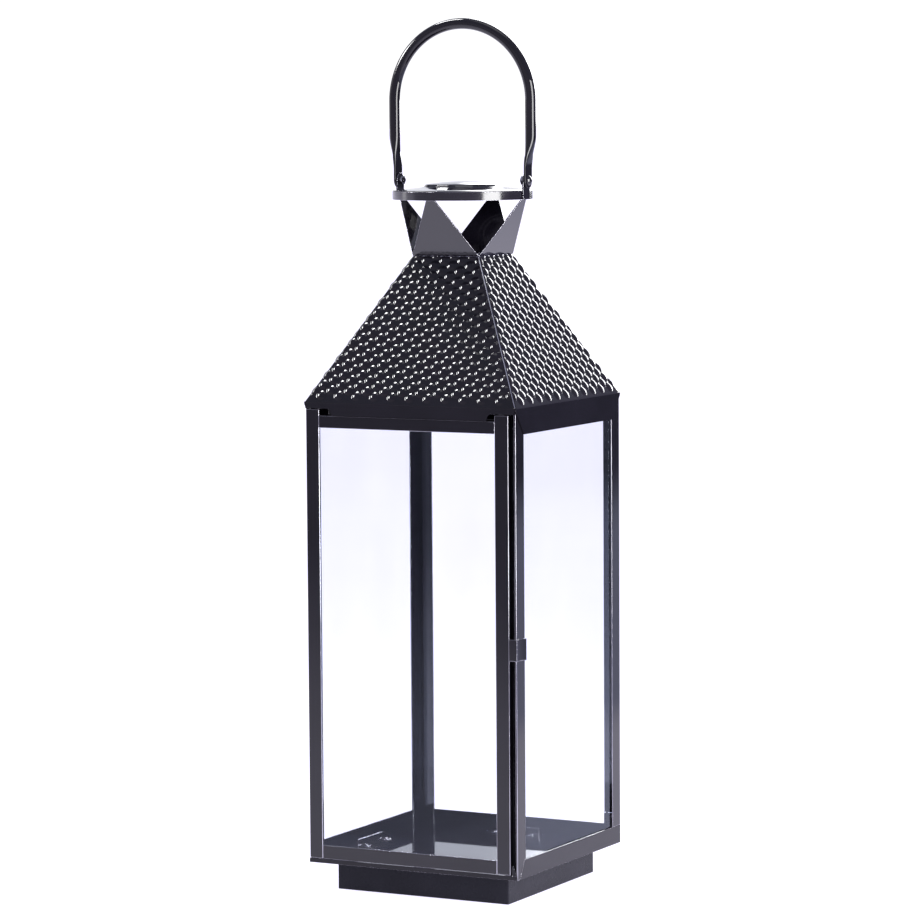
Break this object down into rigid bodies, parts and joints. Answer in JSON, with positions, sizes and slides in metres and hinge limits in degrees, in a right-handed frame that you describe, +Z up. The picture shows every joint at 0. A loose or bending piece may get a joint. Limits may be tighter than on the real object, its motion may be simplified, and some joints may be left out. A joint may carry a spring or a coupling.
{
  "type": "candle lantern",
  "caption": "Tall square glass-sided candle lantern in glossy black sheet metal, with a hinged latched door, embossed pyramid roof, flared crown, round lid and swinging bail handle.",
  "frame": {"origin": "middle of the base, on the surface that the lantern stands on", "axes": "+Z up, -Y towards the door, +X towards the latch side"},
  "size_m": [0.2024, 0.2, 0.7385],
  "materials": {
    "black_gloss_metal": "high-gloss black coating over folded sheet steel",
    "polished_black_metal": "mirror-bright dark nickel-like coating",
    "steel_hardware": "bright plated rivets, screws and nuts",
    "clear_glass": "clear 2 mm float glass"
  },
  "bodies": {
    "lantern_body": {"back_left_post": "black_gloss_metal", "back_right_post": "black_gloss_metal", "base_plinth": "black_gloss_metal", "base_tray": "black_gloss_metal", "bottom_clip_back": "polished_black_metal", "bottom_clip_left": "polished_black_metal", "bottom_clip_right": "polished_black_metal", "clip_rivets": "steel_hardware", "crown_lid": "polished_black_metal", "crown_panel_back": "polished_black_metal", "crown_panel_front": "polished_black_metal", "crown_panel_left": "polished_black_metal", "crown_panel_right": "polished_black_metal", "crown_ring": "polished_black_metal", "door_header": "black_gloss_metal", "front_left_post": "black_gloss_metal", "front_right_post": "black_gloss_metal", "glass_back": "clear_glass", "glass_left": "clear_glass", "glass_right": "clear_glass", "handle_bracket_left": "polished_black_metal", "handle_bracket_right": "polished_black_metal", "handle_nuts": "steel_hardware", "handle_screws": "steel_hardware", "roof_frame": "black_gloss_metal", "roof_panel_back": "black_gloss_metal", "roof_panel_front": "black_gloss_metal", "roof_panel_left": "black_gloss_metal", "roof_panel_right": "black_gloss_metal", "roof_top_plate": "black_gloss_metal", "top_clip_back": "polished_black_metal", "top_clip_left": "polished_black_metal", "top_clip_right": "polished_black_metal"},
    "door": {"door_stile_left": "black_gloss_metal", "door_stile_right": "black_gloss_metal", "door_rail_top": "black_gloss_metal", "door_rail_bottom": "black_gloss_metal", "door_glass": "clear_glass", "door_glass_tabs": "polished_black_metal", "door_pivot_pins": "steel_hardware", "latch_strap": "polished_black_metal", "latch_rivets": "steel_hardware"},
    "latch": {"latch_leaf": "polished_black_metal"},
    "handle": {"bail_handle": "polished_black_metal"}
  },
  "joints": [
    {"name": "door_hinge", "type": "hinge", "parent": "lantern_body", "child": "door", "pos_m": [-0.0958, -0.0967, 0.216], "axis": [0, 0, -1], "range_deg": [0, 120]},
    {"name": "latch_flex", "type": "hinge", "parent": "door", "child": "latch", "pos_m": [0.0926, -0.09895, 0.216], "axis": [0, 0, -1], "range_deg": [0, 18], "stiffness_Nm_per_rad": 0.2},
    {"name": "handle_pivot", "type": "hinge", "parent": "lantern_body", "child": "handle", "pos_m": [0, 0, 0.6017], "axis": [1, 0, 0], "range_deg": [-138, 138]}
  ]
}
